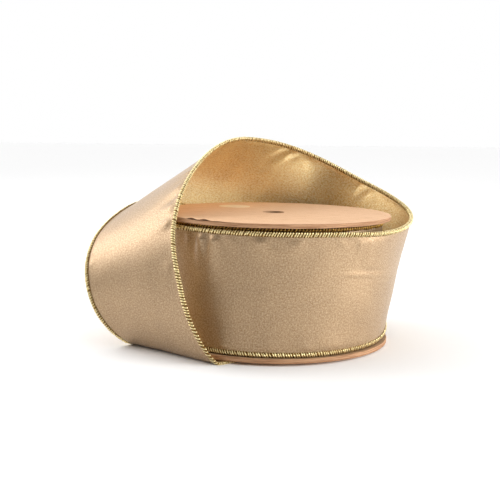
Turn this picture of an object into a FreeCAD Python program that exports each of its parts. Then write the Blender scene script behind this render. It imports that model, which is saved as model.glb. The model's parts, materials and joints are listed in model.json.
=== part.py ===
import FreeCAD, Part

import math
import os

import Sketcher

# A card spool of wired gift ribbon, lying on its lower flange. Millimetres, +Z up. The origin is on the
# spool's axis, in the outer face of the lower flange. The last turn of the ribbon has come off the pack: it
# climbs round the back, rolls over on the left side and ends tucked under the lower flange.

doc = FreeCAD.newDocument("ribbon_spool")

# ---------------------------------------------------------------------------------------------------------
# Driving dimensions: alias, value, meaning
# ---------------------------------------------------------------------------------------------------------
DRIVING = [
    ("flange_radius", 65.0, "outer radius of both flanges"),
    ("board_thickness", 2.0, "chipboard of a flange"),
    ("facing_thickness", 0.2, "kraft paper glued on the outside of a flange"),
    ("arbor_radius", 6.0, "hole for the spindle, through both flanges"),
    ("ribbon_width", 63.5, "width over both wired edges"),
    ("flange_play", 2.0, "free height that the wound ribbon has between the flanges"),
    ("core_radius", 28.5, "outside of the card tube that the ribbon is wound on"),
    ("core_wall", 2.0, "wall of that tube"),
    ("glue_thickness", 0.25, "glue between the tube's ends and the flanges"),
    ("tape_thickness", 0.15, "tape that starts the winding"),
    ("tape_height", 40.0, "height of that tape"),
    ("tape_sweep", 40.0, "degrees that the tape covers"),
    ("first_turn_gap", 0.15, "air between the tape and the first turn"),
    ("rim_margin", 3.6, "how far the wound pack stays inside the flanges' rims"),
    ("pack_drop", 0.3, "air between the wound pack and the upper flange"),
    ("edge_width", 2.7, "width of the thread whipped over the wire"),
    ("edge_thickness", 1.2, "thickness of that whipped edge"),
    ("fabric_thickness", 0.5, "thickness of the woven ribbon"),
    ("wire_diameter", 0.4, "wire inside each edge"),
    ("loose_gap", 0.3, "air between the loose ribbon and the spool"),
    ("tuck_gap", 0.4, "air between the tucked tail and the lower flange"),
    ("label_radius", 9.3, "round paper label on the upper flange"),
    ("label_thickness", 0.1, "thickness of the label"),
    ("label_offset", 39.0, "label's centre from the spool's axis"),
    ("label_angle", 125.0, "direction of the label's centre, in degrees from +X"),
]
DERIVED = [
    ("flange_thickness", "=board_thickness + facing_thickness"),
    ("inner_gap", "=ribbon_width + flange_play"),
    ("upper_inner", "=flange_thickness + inner_gap"),
    ("upper_outer", "=upper_inner + flange_thickness"),
    ("core_length", "=inner_gap - 2 * glue_thickness"),
    ("pack_inner", "=core_radius + tape_thickness + first_turn_gap"),
    ("pack_outer", "=flange_radius - rim_margin"),
    ("pack_top", "=upper_inner - pack_drop"),
    ("pack_base", "=pack_top - ribbon_width"),
    ("loose_turn_radius", "=pack_outer + loose_gap + edge_thickness / 2"),
    ("loose_base", "=flange_thickness + loose_gap"),
    ("tuck_level", "=0 - tuck_gap - edge_thickness / 2"),
]

sheet = doc.addObject("Spreadsheet::Sheet", "Sizes")
row = 1
for alias, value, meaning in DRIVING:
    sheet.set("A%d" % row, str(value))
    sheet.set("B%d" % row, meaning)
    sheet.setAlias("A%d" % row, alias)
    row += 1
for alias, formula in DERIVED:
    sheet.set("A%d" % row, formula)
    sheet.setAlias("A%d" % row, alias)
    row += 1
doc.recompute()


def size(alias):
    """Value of a cell of the sheet, as a number."""
    return float(getattr(sheet, alias))


# ---------------------------------------------------------------------------------------------------------
# Round pieces of the spool
# ---------------------------------------------------------------------------------------------------------
def ring(name, outer, inner, height, base):
    """A ring about the spool's axis: two circles padded upwards. All sizes are expressions."""
    body = doc.addObject("PartDesign::Body", name)
    body.Label = name
    plane = [f for f in body.Origin.OriginFeatures if f.Role == "XY_Plane"][0]
    sketch = body.newObject("Sketcher::SketchObject", name + "_outline")
    sketch.AttachmentSupport = (plane, [""])
    sketch.MapMode = "FlatFace"
    centre = FreeCAD.Vector(0, 0, 0)
    up = FreeCAD.Vector(0, 0, 1)
    for index, (radius, first_guess) in enumerate(((outer, 20.0), (inner, 10.0))):
        sketch.addGeometry(Part.Circle(centre, up, first_guess), False)
        sketch.addConstraint(Sketcher.Constraint("Coincident", index, 3, -1, 1))
        number = sketch.addConstraint(Sketcher.Constraint("Radius", index, first_guess))
        sketch.setExpression("Constraints[%d]" % number, radius)
    pad = body.newObject("PartDesign::Pad", name + "_pad")
    pad.Profile = sketch
    pad.setExpression("Length", height)
    body.setExpression("Placement.Base.z", base)
    return body


sub_parts = [
    ring("bottom_facing", "Sizes.flange_radius", "Sizes.arbor_radius", "Sizes.facing_thickness", "0 mm"),
    ring("bottom_flange", "Sizes.flange_radius", "Sizes.arbor_radius", "Sizes.board_thickness",
         "Sizes.facing_thickness"),
    ring("lower_glue_ring", "Sizes.core_radius", "Sizes.core_radius - Sizes.core_wall",
         "Sizes.glue_thickness", "Sizes.flange_thickness"),
    ring("core_tube", "Sizes.core_radius", "Sizes.core_radius - Sizes.core_wall", "Sizes.core_length",
         "Sizes.flange_thickness + Sizes.glue_thickness"),
    ring("upper_glue_ring", "Sizes.core_radius", "Sizes.core_radius - Sizes.core_wall",
         "Sizes.glue_thickness", "Sizes.upper_inner - Sizes.glue_thickness"),
    ring("top_flange", "Sizes.flange_radius", "Sizes.arbor_radius", "Sizes.board_thickness",
         "Sizes.upper_inner"),
    ring("top_facing", "Sizes.flange_radius", "Sizes.arbor_radius", "Sizes.facing_thickness",
         "Sizes.upper_inner + Sizes.board_thickness"),
    ring("wound_lower_edge", "Sizes.pack_outer", "Sizes.pack_inner", "Sizes.edge_width", "Sizes.pack_base"),
    ring("wound_fabric", "Sizes.pack_outer", "Sizes.pack_inner", "Sizes.ribbon_width - 2 * Sizes.edge_width",
         "Sizes.pack_base + Sizes.edge_width"),
    ring("wound_upper_edge", "Sizes.pack_outer", "Sizes.pack_inner", "Sizes.edge_width",
         "Sizes.pack_top - Sizes.edge_width"),
]

# The tape that holds the ribbon's first end on the tube: a strip of a thin shell
tape_outside = doc.addObject("Part::Cylinder", "tape_outside")
tape_outside.setExpression("Radius", "Sizes.core_radius + Sizes.tape_thickness")
tape_outside.setExpression("Height", "Sizes.tape_height")
tape_outside.setExpression("Angle", "Sizes.tape_sweep")
tape_inside = doc.addObject("Part::Cylinder", "tape_inside")
tape_inside.setExpression("Radius", "Sizes.core_radius")
tape_inside.setExpression("Height", "Sizes.tape_height")
start_tape = doc.addObject("Part::Cut", "start_tape")
start_tape.Label = "start_tape"
start_tape.Base = tape_outside
start_tape.Tool = tape_inside
start_tape.setExpression("Placement.Base.z", "(Sizes.upper_outer - Sizes.tape_height) / 2")
sub_parts.append(start_tape)

# A blank round label on the upper facing
blank_label = doc.addObject("Part::Cylinder", "blank_label")
blank_label.Label = "blank_label"
blank_label.setExpression("Radius", "Sizes.label_radius")
blank_label.setExpression("Height", "Sizes.label_thickness")
blank_label.setExpression("Placement.Base.x", "Sizes.label_offset * cos(Sizes.label_angle * 1 deg)")
blank_label.setExpression("Placement.Base.y", "Sizes.label_offset * sin(Sizes.label_angle * 1 deg)")
blank_label.setExpression("Placement.Base.z", "Sizes.upper_outer")
sub_parts.append(blank_label)

# ---------------------------------------------------------------------------------------------------------
# The loose ribbon
# ---------------------------------------------------------------------------------------------------------
# It is a strip between two smooth edge curves. A station pairs a point of the lower edge with a point of
# the upper one. On the spool the stations stand on a circle just outside the pack, at these angles, and the
# ribbon begins to lean outwards at the last ones: (angle in degrees, lean as a share of the width). The
# first only guides the curves: the ribbon begins at the second.
WOUND_STATIONS = [(136, 0.0), (160, 0.0), (184, 0.0), (208, 0.0), (232, 0.0), (256, 0.01), (280, 0.035),
                  (300, 0.07)]

# Off the pack: the lower point's x and y in shares of the circle's radius and its height in shares of the
# ribbon's width, then the way across to the upper point, in widths.
LOOSE_STATIONS = [
    ((0.766, -0.642, 0.043), (0.060, -0.126, 0.986)),
    ((0.963, -0.305, 0.063), (0.110, -0.142, 0.976)),
    ((1.034, 0.104, 0.118), (0.192, -0.157, 0.961)),
    ((0.963, 0.513, 0.205), (0.283, -0.157, 0.945)),
    ((0.763, 0.850, 0.315), (0.346, -0.110, 0.937)),
    ((0.465, 1.108, 0.457), (0.409, -0.047, 0.913)),
    ((0.104, 1.244, 0.630), (0.433, -0.024, 0.906)),
    ((-0.273, 1.268, 0.803), (0.457, -0.189, 0.866)),
    ((-0.642, 1.139, 0.961), (0.520, -0.362, 0.772)),
    ((-0.963, 0.899, 1.071), (0.598, -0.457, 0.661)),
    ((-1.244, 0.594, 1.110), (0.685, -0.504, 0.528)),
    ((-1.445, 0.241, 1.024), (0.740, -0.520, 0.441)),
    ((-1.589, -0.113, 0.850), (0.787, -0.496, 0.378)),
    ((-1.621, -0.385, 0.567), (0.803, -0.488, 0.346)),
    ((-1.517, -0.457, 0.260), (0.764, -0.543, 0.346)),
    ((-1.372, -0.423, 0.075), (0.701, -0.634, 0.272)),
    ((-1.292, -0.391, 0.012), (0.724, -0.668, 0.130)),
]
# Where it lies flat under the spool, in the same units but without heights.
TAIL_STATIONS = [
    ((-1.224, -0.357), (0.775, -0.654)),
    ((-1.059, -0.203), (0.745, -0.707)),
    ((-0.594, 0.137), (0.583, -0.816)),
]

turn_radius = size("loose_turn_radius")
ribbon_width = size("ribbon_width")
tuck_level = size("tuck_level")


def vector(x, y, z):
    """A FreeCAD vector."""
    return FreeCAD.Vector(x, y, z)


def stations():
    """Every station of the strip, from the pack to the tail's end: pairs of points."""
    pairs = []
    base = size("loose_base")
    for angle, lean in WOUND_STATIONS:
        outward = vector(math.cos(math.radians(angle)), math.sin(math.radians(angle)), 0)
        low = outward * turn_radius + vector(0, 0, base)
        rise = math.sqrt(1 - lean * lean)
        pairs.append((low, low + (outward * lean + vector(0, 0, rise)) * ribbon_width))
    for (x, y, z), across in LOOSE_STATIONS:
        low = vector(x * turn_radius, y * turn_radius, z * ribbon_width)
        pairs.append((low, low + vector(*across) * ribbon_width))
    for (x, y), (across_x, across_y) in TAIL_STATIONS:
        low = vector(x * turn_radius, y * turn_radius, tuck_level)
        pairs.append((low, low + vector(across_x, across_y, 0) * ribbon_width))
    return pairs


STATIONS = stations()
PLACES = [0.0]
for before, after in zip(STATIONS, STATIONS[1:]):
    step = ((after[0] - before[0]).Length + (after[1] - before[1]).Length) / 2
    PLACES.append(PLACES[-1] + step)

lower_curve = Part.BSplineCurve()
lower_curve.interpolate(Points=[pair[0] for pair in STATIONS], Parameters=PLACES)
upper_curve = Part.BSplineCurve()
upper_curve.interpolate(Points=[pair[1] for pair in STATIONS], Parameters=PLACES)

BEGIN = 1
LEAVES_PACK = len(WOUND_STATIONS)
TOUCHES_DOWN = len(STATIONS) - len(TAIL_STATIONS)
LAST = len(STATIONS) - 1


def edge_point(curve, place):
    """Point of an edge curve. It stays above the lower flange on the pack and flat under it in the tail."""
    point = curve.value(place)
    if place >= PLACES[TOUCHES_DOWN]:
        return vector(point.x, point.y, tuck_level)
    lowest = size("loose_base") if place <= PLACES[LEAVES_PACK] else tuck_level
    return vector(point.x, point.y, max(point.z, lowest))


def strip_frame(place):
    """Lower point, upper point, unit vector across and unit normal of the strip at a place along it."""
    low = edge_point(lower_curve, place)
    high = edge_point(upper_curve, place)
    span = 0.5
    flat = place >= PLACES[TOUCHES_DOWN]
    behind = max(place - span, PLACES[TOUCHES_DOWN] if flat else PLACES[0])
    ahead = min(place + span, PLACES[LAST] if flat else PLACES[TOUCHES_DOWN])
    along = (edge_point(lower_curve, ahead) + edge_point(upper_curve, ahead)
             - edge_point(lower_curve, behind) - edge_point(upper_curve, behind))
    across = (high - low).normalize()
    return low, high, across, along.cross(across).normalize()


def outline(place, corners, from_upper=False):
    """Closed wire at a place of the strip. Each corner is (distance in from the edge, distance along the
    normal)."""
    low, high, across, normal = strip_frame(place)
    start = high if from_upper else low
    inward = across * (-1.0 if from_upper else 1.0)
    points = [start + inward * reach + normal * rise for reach, rise in corners]
    return Part.makePolygon(points + points[:1])


def fabric_outline(place):
    """Closed wire of the cloth between the two whipped edges."""
    low, high, across, normal = strip_frame(place)
    edge = across * size("edge_width")
    half = normal * (size("fabric_thickness") / 2)
    points = [low + edge - half, high - edge - half, high - edge + half, low + edge + half]
    return Part.makePolygon(points + points[:1])


def edge_corners():
    """Section of a whipped edge: flat towards the cloth and round outside."""
    width = size("edge_width")
    half = size("edge_thickness") / 2
    return [(0.0, -0.4 * half), (0.25 * width, -half), (0.75 * width, -half), (width, -0.5 * half),
            (width, 0.5 * half), (0.75 * width, half), (0.25 * width, half), (0.0, 0.4 * half)]


def wire_corners():
    """Section of the wire inside a whipped edge, as a hexagon."""
    radius = size("wire_diameter") / 2
    middle = size("edge_width") / 2
    turns = [math.radians(60 * k) for k in range(6)]
    return [(middle + radius * math.cos(t), radius * math.sin(t)) for t in turns]


SECTIONS_PER_SPAN = 6


def places_between(first, last):
    """Places along the strip from one station's number to another's."""
    places = []
    for index in range(first, last):
        for k in range(SECTIONS_PER_SPAN):
            share = k / SECTIONS_PER_SPAN
            places.append(PLACES[index] * (1 - share) + PLACES[index + 1] * share)
    return places + [PLACES[last]]


def lofted(name, wires):
    """Sub-part made of straight facets through closed wires."""
    piece = doc.addObject("Part::Feature", name)
    piece.Label = name
    piece.Shape = Part.makeLoft(wires, True, True)
    piece.Placement = FreeCAD.Placement()
    sub_parts.append(piece)


# The strip is cut into four stretches, each from one station's number to another's.
STRETCHES = [("outer_turn", BEGIN, 9), ("rising", 9, 15), ("lobe", 15, 22), ("tail", 22, LAST)]
for stretch, first, last in STRETCHES:
    places = places_between(first, last)
    lofted(stretch + "_fabric", [fabric_outline(place) for place in places])
    lofted(stretch + "_lower_edge", [outline(place, edge_corners()) for place in places])
    lofted(stretch + "_upper_edge", [outline(place, edge_corners(), True) for place in places])

whole = places_between(BEGIN, LAST)
lofted("loose_lower_wire", [outline(place, wire_corners()) for place in whole])
lofted("loose_upper_wire", [outline(place, wire_corners(), True) for place in whole])

# ---------------------------------------------------------------------------------------------------------
# Check and write
# ---------------------------------------------------------------------------------------------------------
doc.recompute()
for thing in doc.Objects:
    if "Invalid" in thing.State or "Error" in thing.State:
        raise RuntimeError("%s did not compute: %s" % (thing.Label, thing.State))
for piece in sub_parts:
    if piece.Shape.isNull() or not piece.Shape.isValid():
        raise RuntimeError("%s has no valid shape" % piece.Label)
    if not piece.Shape.Solids or piece.Shape.Volume <= 0:
        raise RuntimeError("%s is not a solid" % piece.Label)

os.makedirs("parts", exist_ok=True)
for piece in sub_parts:
    piece.Shape.exportStep("parts/%s.step" % piece.Label)
    print("%-20s %9.1f mm3" % (piece.Label, piece.Shape.Volume))
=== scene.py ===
"""Looks of a card spool of wide wired gift ribbon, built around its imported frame.

The spool lies on its lower flange. The last turn of the ribbon has come off the pack: it climbs round the
back, rolls over on the left side and ends tucked under the lower flange. Every length is in metres.
"""

from __future__ import annotations

import json
import logging
import math
from dataclasses import dataclass, field
from enum import Enum
from typing import ClassVar

import bmesh
import bpy
import numpy as np
from mathutils import Matrix, Vector


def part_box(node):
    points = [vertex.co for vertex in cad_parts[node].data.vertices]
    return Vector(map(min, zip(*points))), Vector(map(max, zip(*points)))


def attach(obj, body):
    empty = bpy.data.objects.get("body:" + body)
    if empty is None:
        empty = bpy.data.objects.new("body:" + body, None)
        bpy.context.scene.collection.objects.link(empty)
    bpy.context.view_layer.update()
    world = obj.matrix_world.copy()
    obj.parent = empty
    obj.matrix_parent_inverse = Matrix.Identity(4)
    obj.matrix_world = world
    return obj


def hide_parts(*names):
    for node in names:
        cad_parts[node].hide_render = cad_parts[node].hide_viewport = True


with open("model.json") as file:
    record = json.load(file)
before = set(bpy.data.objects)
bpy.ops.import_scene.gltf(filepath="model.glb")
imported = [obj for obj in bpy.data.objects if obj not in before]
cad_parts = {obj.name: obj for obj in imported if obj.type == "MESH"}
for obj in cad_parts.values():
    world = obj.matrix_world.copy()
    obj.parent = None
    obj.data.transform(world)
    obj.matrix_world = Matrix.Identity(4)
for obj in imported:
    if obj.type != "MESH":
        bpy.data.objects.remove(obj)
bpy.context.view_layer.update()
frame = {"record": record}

LOG = logging.getLogger("ribbon_spool")
MM = 0.001
SEED = 7

Array = np.ndarray
Piece = bpy.types.Object
Tree = bpy.types.NodeTree
Socket = bpy.types.NodeSocket

# ---- Small helpers ----


def linear(code: str) -> tuple[float, float, float, float]:
    """Turn an sRGB hex colour into the linear RGBA that shaders take.

    Args:
        code: the colour, such as "#C8935A".

    Returns:
        Linear red, green and blue, and an alpha of 1.
    """
    parts = [int(code[k:k + 2], 16) / 255 for k in (1, 3, 5)]
    values = [c / 12.92 if c <= 0.04045 else ((c + 0.055) / 1.055) ** 2.4 for c in parts]
    return (values[0], values[1], values[2], 1.0)


def add(tree: Tree, kind: str, inputs: dict | None = None, **settings) -> bpy.types.Node:
    """Add a node, set it up and link it.

    Args:
        tree: the material's node tree.
        kind: the node's type name, after ShaderNode.
        inputs: values or output sockets, by input name or number.
        settings: attributes of the node. stops are a colour ramp's places and colours.

    Returns:
        The new node.
    """
    node = tree.nodes.new("ShaderNode" + kind)
    for name, value in settings.items():
        if name == "stops":
            for index, (place, color) in enumerate(value):
                stop = node.color_ramp.elements[index] if index < 2 else node.color_ramp.elements.new(place)
                stop.position = place
                stop.color = color
        else:
            setattr(node, name, value)
    for name, value in (inputs or {}).items():
        if isinstance(value, Socket):
            tree.links.new(value, node.inputs[name])
        else:
            node.inputs[name].default_value = value
    return node


def grey(value: float) -> tuple[float, float, float, float]:
    """A grey of that linear value."""
    return (value, value, value, 1.0)


def new_object(name: str, points: Array, faces: list, material_of: list, materials: list,
               uvs: Array | None = None, smooth: bool = True) -> Piece:
    """Make a mesh object.

    Args:
        name: the piece's name.
        points: vertex positions, one row each.
        faces: vertex numbers of each face.
        material_of: number of each face's material.
        materials: the materials, in order.
        uvs: texture place of each vertex, or None.
        smooth: whether the faces are shaded smooth.

    Returns:
        The new object, linked to the scene.
    """
    mesh = bpy.data.meshes.new(name)
    mesh.from_pydata([tuple(p) for p in points], [], faces)
    for material in materials:
        mesh.materials.append(material)
    mesh.polygons.foreach_set("material_index", np.array(material_of, np.int32))
    mesh.polygons.foreach_set("use_smooth", np.full(len(faces), smooth))
    if uvs is not None:
        layer = mesh.uv_layers.new(name="UVMap")
        corners = np.zeros(len(mesh.loops), np.int32)
        mesh.loops.foreach_get("vertex_index", corners)
        layer.data.foreach_set("uv", uvs[corners].astype(np.float32).ravel())
    shell = bmesh.new()
    shell.from_mesh(mesh)
    bmesh.ops.recalc_face_normals(shell, faces=shell.faces)
    shell.to_mesh(mesh)
    shell.free()
    piece = bpy.data.objects.new(name, mesh)
    bpy.context.scene.collection.objects.link(piece)
    return piece


def unit(rows: Array) -> Array:
    """Rows scaled to length 1."""
    return rows / np.maximum(np.linalg.norm(rows, axis=-1, keepdims=True), 1e-12)


def smooth_step(x: Array, low: float, high: float) -> Array:
    """Rises from 0 at low to 1 at high with level ends."""
    t = np.clip((x - low) / (high - low), 0, 1)
    return t * t * (3 - 2 * t)


def natural_spline(knots: Array, values: Array, at: Array) -> Array:
    """Smooth curve through points.

    Args:
        knots: the parameter of each point.
        values: the points, one row each.
        at: parameters to read the curve at.

    Returns:
        One row for each parameter.
    """
    count = len(knots)
    gaps = np.diff(knots)
    matrix = np.eye(count)
    right = np.zeros_like(values)
    for i in range(1, count - 1):
        matrix[i, i - 1:i + 2] = gaps[i - 1], 2 * (gaps[i - 1] + gaps[i]), gaps[i]
        right[i] = 6 * ((values[i + 1] - values[i]) / gaps[i] - (values[i] - values[i - 1]) / gaps[i - 1])
    bends = np.linalg.solve(matrix, right)
    i = np.clip(np.searchsorted(knots, at) - 1, 0, count - 2)
    gap = gaps[i]
    a = (knots[i + 1] - at) / gap
    b = 1 - a
    ends = a[:, None] * values[i] + b[:, None] * values[i + 1]
    curve = (a ** 3 - a)[:, None] * bends[i] + (b ** 3 - b)[:, None] * bends[i + 1]
    return ends + curve * (gap ** 2 / 6)[:, None]


# ---- Finishes ----


@dataclass(frozen=True)
class Finish:
    """A material made of nodes. Each kind of finish adds its own pattern."""

    name: str
    metallic: float = 0.0
    roughness: float = 0.5
    bump: float = 0.1
    bump_depth: float = 0.05 * MM

    PLACES: ClassVar = "Object"

    def look(self, tree: Tree, where: Socket) -> dict:
        """Add the pattern's nodes.

        Args:
            tree: the material's node tree.
            where: the place on the piece.

        Returns:
            Its color, the height for its bump, and other values or sockets by the shader's input names.
        """
        raise NotImplementedError

    def build(self) -> bpy.types.Material:
        """Make the material."""
        material = bpy.data.materials.new(self.name)
        material.use_nodes = True
        tree = material.node_tree
        tree.nodes.clear()
        look = self.look(tree, add(tree, "TexCoord").outputs[self.PLACES])
        bump = add(tree, "Bump", {
            "Height": look.pop("height"), "Strength": self.bump, "Distance": self.bump_depth})
        shader = add(tree, "BsdfPrincipled", {
            "Base Color": look.pop("color"), "Metallic": self.metallic, "Roughness": self.roughness,
            "Normal": bump.outputs[0], **look})
        add(tree, "OutputMaterial", {"Surface": shader.outputs[0]})
        return material


@dataclass(frozen=True, kw_only=True)
class WovenFace(Finish):
    """One face of the woven ribbon. UVs are metres along and across the ribbon.

    The real threads are about 0.2 mm apart, too fine to show, so the glints are drawn coarser. A glint
    begins where the weave's noise passes first_glint and is full at last_glint. The glint colour is partly
    the paler metallised thread and partly a painted highlight: near-white sparkle mixed into the base
    colour. The roughness is dull between the glints and roughness on them.
    """

    ground: str
    glint: str
    shade: str
    dull: float
    glint_share: float
    sheen: float
    first_glint: float = 0.40
    last_glint: float = 0.74
    glint_length: float = 0.8 * MM
    glint_height: float = 0.85 * MM
    patch: float = 12 * MM
    sheen_roughness: float = 0.4

    PLACES: ClassVar = "UV"

    def look(self, tree: Tree, where: Socket) -> dict:
        """Satin or lame threads, with painted glints scattered unevenly over them."""
        threads = add(tree, "Mapping", {
            "Vector": where, "Scale": (1 / self.glint_length, 1 / self.glint_height, 1.0)})
        weave = add(tree, "TexNoise", {
            "Vector": threads.outputs[0], "Scale": 1.0, "Detail": 5.0, "Roughness": 0.85},
            noise_dimensions="2D")
        glints = add(tree, "ValToRGB", {"Fac": weave.outputs["Fac"]},
                     stops=[(self.first_glint, grey(0.0)), (self.last_glint, grey(1.0))])
        patches = add(tree, "TexNoise", {
            "Vector": where, "Scale": 1 / self.patch, "Detail": 6.0, "Roughness": 0.72},
            noise_dimensions="2D")
        body = add(tree, "Mix", {
            0: patches.outputs["Fac"], 6: linear(self.shade), 7: linear(self.ground)}, data_type="RGBA")
        strength = add(tree, "Math", {0: glints.outputs["Color"], 1: self.glint_share},
                       operation="MULTIPLY")
        # Painted highlight: where the weave's noise is high, the near-white glint colour is mixed into the
        # base colour.
        color = add(tree, "Mix", {
            0: strength.outputs[0], 6: body.outputs[2], 7: linear(self.glint)}, data_type="RGBA")
        rough = add(tree, "MapRange", {
            "Value": glints.outputs["Color"], "To Min": self.dull, "To Max": self.roughness})
        return {"color": color.outputs[2], "height": weave.outputs["Fac"], "Roughness": rough.outputs[0],
                "Sheen Weight": self.sheen, "Sheen Roughness": self.sheen_roughness}


@dataclass(frozen=True, kw_only=True)
class MetallicThread(Finish):
    """Gold metallised film thread, plied and whipped over the wire: bright, with painted shade in the gaps
    between plies.
    """

    color: str
    dark: str
    metallic: float = 0.75
    ply_spacing: float = 0.45 * MM
    bump: float = 0.5
    bump_depth: float = 0.1 * MM

    def look(self, tree: Tree, where: Socket) -> dict:
        """Bright plies, with painted shade in the gaps between them."""
        plies = add(tree, "TexNoise", {
            "Vector": where, "Scale": 1 / self.ply_spacing, "Detail": 2.0})
        # Painted shade: the dark colour lies where the plies' bump is low, in the gaps between plies.
        ply_color_and_painted_shade = add(tree, "ValToRGB", {"Fac": plies.outputs["Fac"]},
                    stops=[(0.34, linear(self.dark)), (0.52, linear(self.color))])
        return {"color": ply_color_and_painted_shade.outputs[0], "height": plies.outputs["Fac"]}


@dataclass(frozen=True, kw_only=True)
class FibreBoard(Finish):
    """Kraft paper and card: matt, with long pale and dark fibres along the machine direction, +X."""

    color: str
    streak: str
    fleck: str
    roughness: float = 0.72
    streak_width: float = 0.9 * MM
    streak_length: float = 13 * MM
    fibre: float = 0.5 * MM
    bump: float = 0.35
    bump_depth: float = 0.08 * MM

    def look(self, tree: Tree, where: Socket) -> dict:
        """Streaks with pale flecks over them."""
        grain = add(tree, "Mapping", {
            "Vector": where, "Scale": (1 / self.streak_length, 1 / self.streak_width, 1 / self.streak_width)})
        streaks = add(tree, "TexNoise", {
            "Vector": grain.outputs[0], "Scale": 1.0, "Detail": 4.0, "Roughness": 0.62, "Distortion": 0.3})
        lines = add(tree, "ValToRGB", {"Fac": streaks.outputs["Fac"]},
                    stops=[(0.38, linear(self.streak)), (0.50, linear(self.color))])
        fibres = add(tree, "TexNoise", {
            "Vector": where, "Scale": 1 / self.fibre, "Detail": 3.0})
        flecks = add(tree, "ValToRGB", {"Fac": fibres.outputs["Fac"]},
                     stops=[(0.62, grey(0.0)), (0.80, grey(0.55))])
        color = add(tree, "Mix", {
            0: flecks.outputs["Color"], 6: lines.outputs["Color"], 7: linear(self.fleck)}, data_type="RGBA")
        return {"color": color.outputs[2], "height": streaks.outputs["Fac"]}


@dataclass(frozen=True, kw_only=True)
class DieCutEdge(Finish):
    """Cut edge of the chipboard: brown, compressed, with thin layers that show as fine level lines."""

    color: str
    dark: str
    layer: float = 0.35 * MM
    layer_length: float = 14 * MM
    roughness: float = 0.8
    bump: float = 0.6
    bump_depth: float = 0.12 * MM

    def look(self, tree: Tree, where: Socket) -> dict:
        """Fine level layers."""
        flat = add(tree, "Mapping", {
            "Vector": where, "Scale": (1 / self.layer_length, 1 / self.layer_length, 1 / self.layer)})
        layers = add(tree, "TexNoise", {
            "Vector": flat.outputs[0], "Scale": 1.0, "Detail": 3.0, "Roughness": 0.6})
        color = add(tree, "ValToRGB", {"Fac": layers.outputs["Fac"]},
                    stops=[(0.38, linear(self.dark)), (0.60, linear(self.color))])
        return {"color": color.outputs[0], "height": layers.outputs["Fac"]}


@dataclass(frozen=True, kw_only=True)
class PlainStuff(Finish):
    """Glue, tape, wire, label paper or the floor: one colour with a slight unevenness of its own."""

    color: str
    uneven: str
    grain: float = 2.0 * MM

    def look(self, tree: Tree, where: Socket) -> dict:
        """A faint cloudiness."""
        cloud = add(tree, "TexNoise", {"Vector": where, "Scale": 1 / self.grain, "Detail": 3.0})
        color = add(tree, "Mix", {
            0: cloud.outputs["Fac"], 6: linear(self.uneven), 7: linear(self.color)}, data_type="RGBA")
        return {"color": color.outputs[2], "height": cloud.outputs["Fac"]}


class Stuff(Enum):
    """Every finish on the object and its stage."""

    # Polyester satin with a little metallised film in it: a soft, broad shine over fine grain, with painted
    # glints in the glint colour.
    SATIN = WovenFace(
        "taupe_satin", ground="#AB8962", glint="#F4DFBC", shade="#91704E", metallic=0.52, dull=0.46,
        roughness=0.32, glint_share=0.60, sheen=0.15, bump=0.8, bump_depth=0.1 * MM)
    # Lame weave on the inside: metallised film threads whose sparkle one by one is partly a painted highlight
    # in the glint colour.
    LAME = WovenFace(
        "gold_lame", ground="#F9D992", glint="#FFF6CC", shade="#C09048", metallic=0.86, dull=0.46,
        roughness=0.30, glint_share=0.85, sheen=0.0, last_glint=0.66, glint_length=1.3 * MM,
        glint_height=1.0 * MM, bump=1.0, bump_depth=0.22 * MM)
    # Gold film wound on a thread: bright where a stitch turns to the light.
    THREAD = MetallicThread("gold_metallic_thread", color="#FCEBB4", dark="#B3924A", roughness=0.30)
    # Between the wound turns the same thread is painted in shade: browner, duller.
    SHADED_THREAD = MetallicThread("gold_thread_painted_in_shade", color="#CFA24C", dark="#57380F", roughness=0.40)
    # The cord under the whipping is the same thread in its own shadow.
    UNDERCORD = MetallicThread("gold_thread_core", color="#85602A", dark="#38240C", roughness=0.55)
    # Unbleached paper on the discs: matt and warm, with fine fibres.
    KRAFT = FibreBoard("kraft_facing_paper", color="#E6BA90", streak="#CC9A6E", fleck="#F4D8B8",
                       streak_width=0.55 * MM, streak_length=9 * MM)
    # Plain card of the tube and the discs: greyer and rougher to the eye than the paper.
    CORE_CARD = FibreBoard("spiral_tube_card", color="#B08C66", streak="#94714E", fleck="#C9A981")
    GREY_BOARD = FibreBoard("grey_chipboard", color="#B9946F", streak="#A07A56", fleck="#CDAE8C")
    # The knife-cut rim of a disc: darker, in thin layers.
    BOARD_EDGE = DieCutEdge("chipboard_cut_edge", color="#CFA27A", dark="#A0714E")
    # Small stuff: pale glue, glossy tape, smooth blank label paper, dull grey wire, and the white floor.
    GLUE = PlainStuff("hot_melt_glue", color="#E4D8B0", uneven="#CDBE90", roughness=0.35)
    TAPE = PlainStuff("clear_tape", color="#E8E2CE", uneven="#D8D0B8", roughness=0.2)
    LABEL = PlainStuff("label_paper", color="#F3DBB9", uneven="#E9CDA6", roughness=0.5)
    WIRE = PlainStuff("annealed_steel_wire", color="#A8A49C", uneven="#8D8982", roughness=0.35, metallic=1.0)
    FLOOR = PlainStuff("matt_white_paper", color="#FFFFFF", uneven="#FDFDFD", roughness=0.9, bump=0.0)


class Wardrobe:
    """Builds each finish once and hands it out."""

    def __init__(self) -> None:
        """Start with nothing built."""
        self._built: dict[Stuff, bpy.types.Material] = {}

    def get(self, stuff: Stuff) -> bpy.types.Material:
        """The material of a finish."""
        if stuff not in self._built:
            self._built[stuff] = stuff.value.build()
        return self._built[stuff]


# ---- The ribbon's sizes and course ----


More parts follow.
